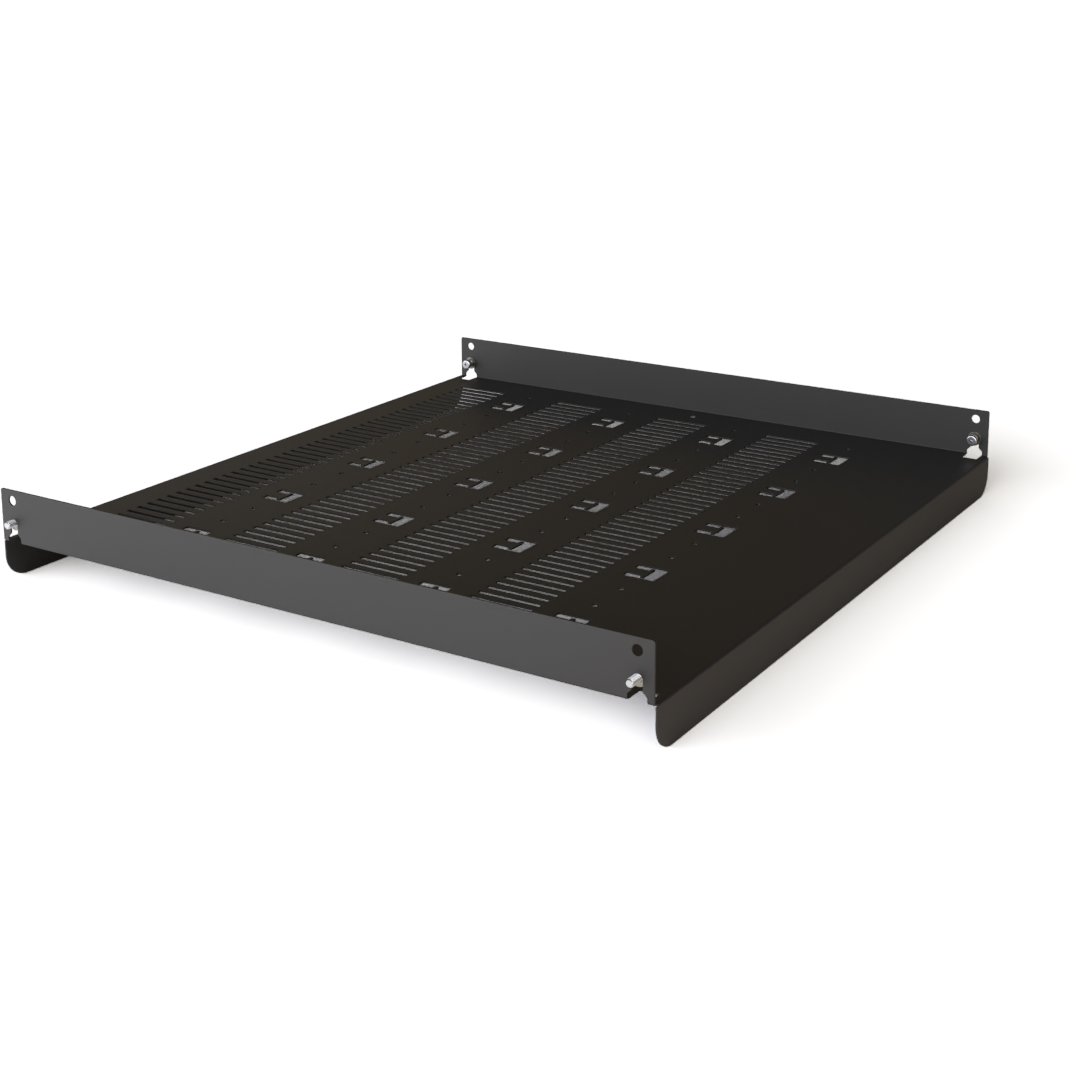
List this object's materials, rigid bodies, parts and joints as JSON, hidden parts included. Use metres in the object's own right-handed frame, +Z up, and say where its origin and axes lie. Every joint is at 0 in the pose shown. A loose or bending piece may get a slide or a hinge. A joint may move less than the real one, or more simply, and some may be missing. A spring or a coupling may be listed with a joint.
{
  "type": "rack shelf",
  "caption": "Four-post rack shelf: a black folded steel tray with vent slots, strap windows with T-tongues and keyhole notches at the corners, hung on zinc-plated screws.",
  "frame": {"origin": "middle of the footprint, on the lower edges of the side flanges", "axes": "+Z up, X across the rack, the front flange faces -Y"},
  "size_m": [0.488, 0.532, 0.0633],
  "materials": {
    "shelf_pan": "black powder coat, fine texture, satin",
    "screw": "bright zinc plate",
    "washer": "bright zinc plate"
  },
  "bodies": {
    "root": {"shelf_pan": "shelf_pan", "front_left_screw": "screw", "front_right_screw": "screw", "rear_left_screw": "screw", "rear_right_screw": "screw", "front_left_washer": "washer", "front_right_washer": "washer", "rear_left_washer": "washer", "rear_right_washer": "washer"}
  },
  "joints": []
}
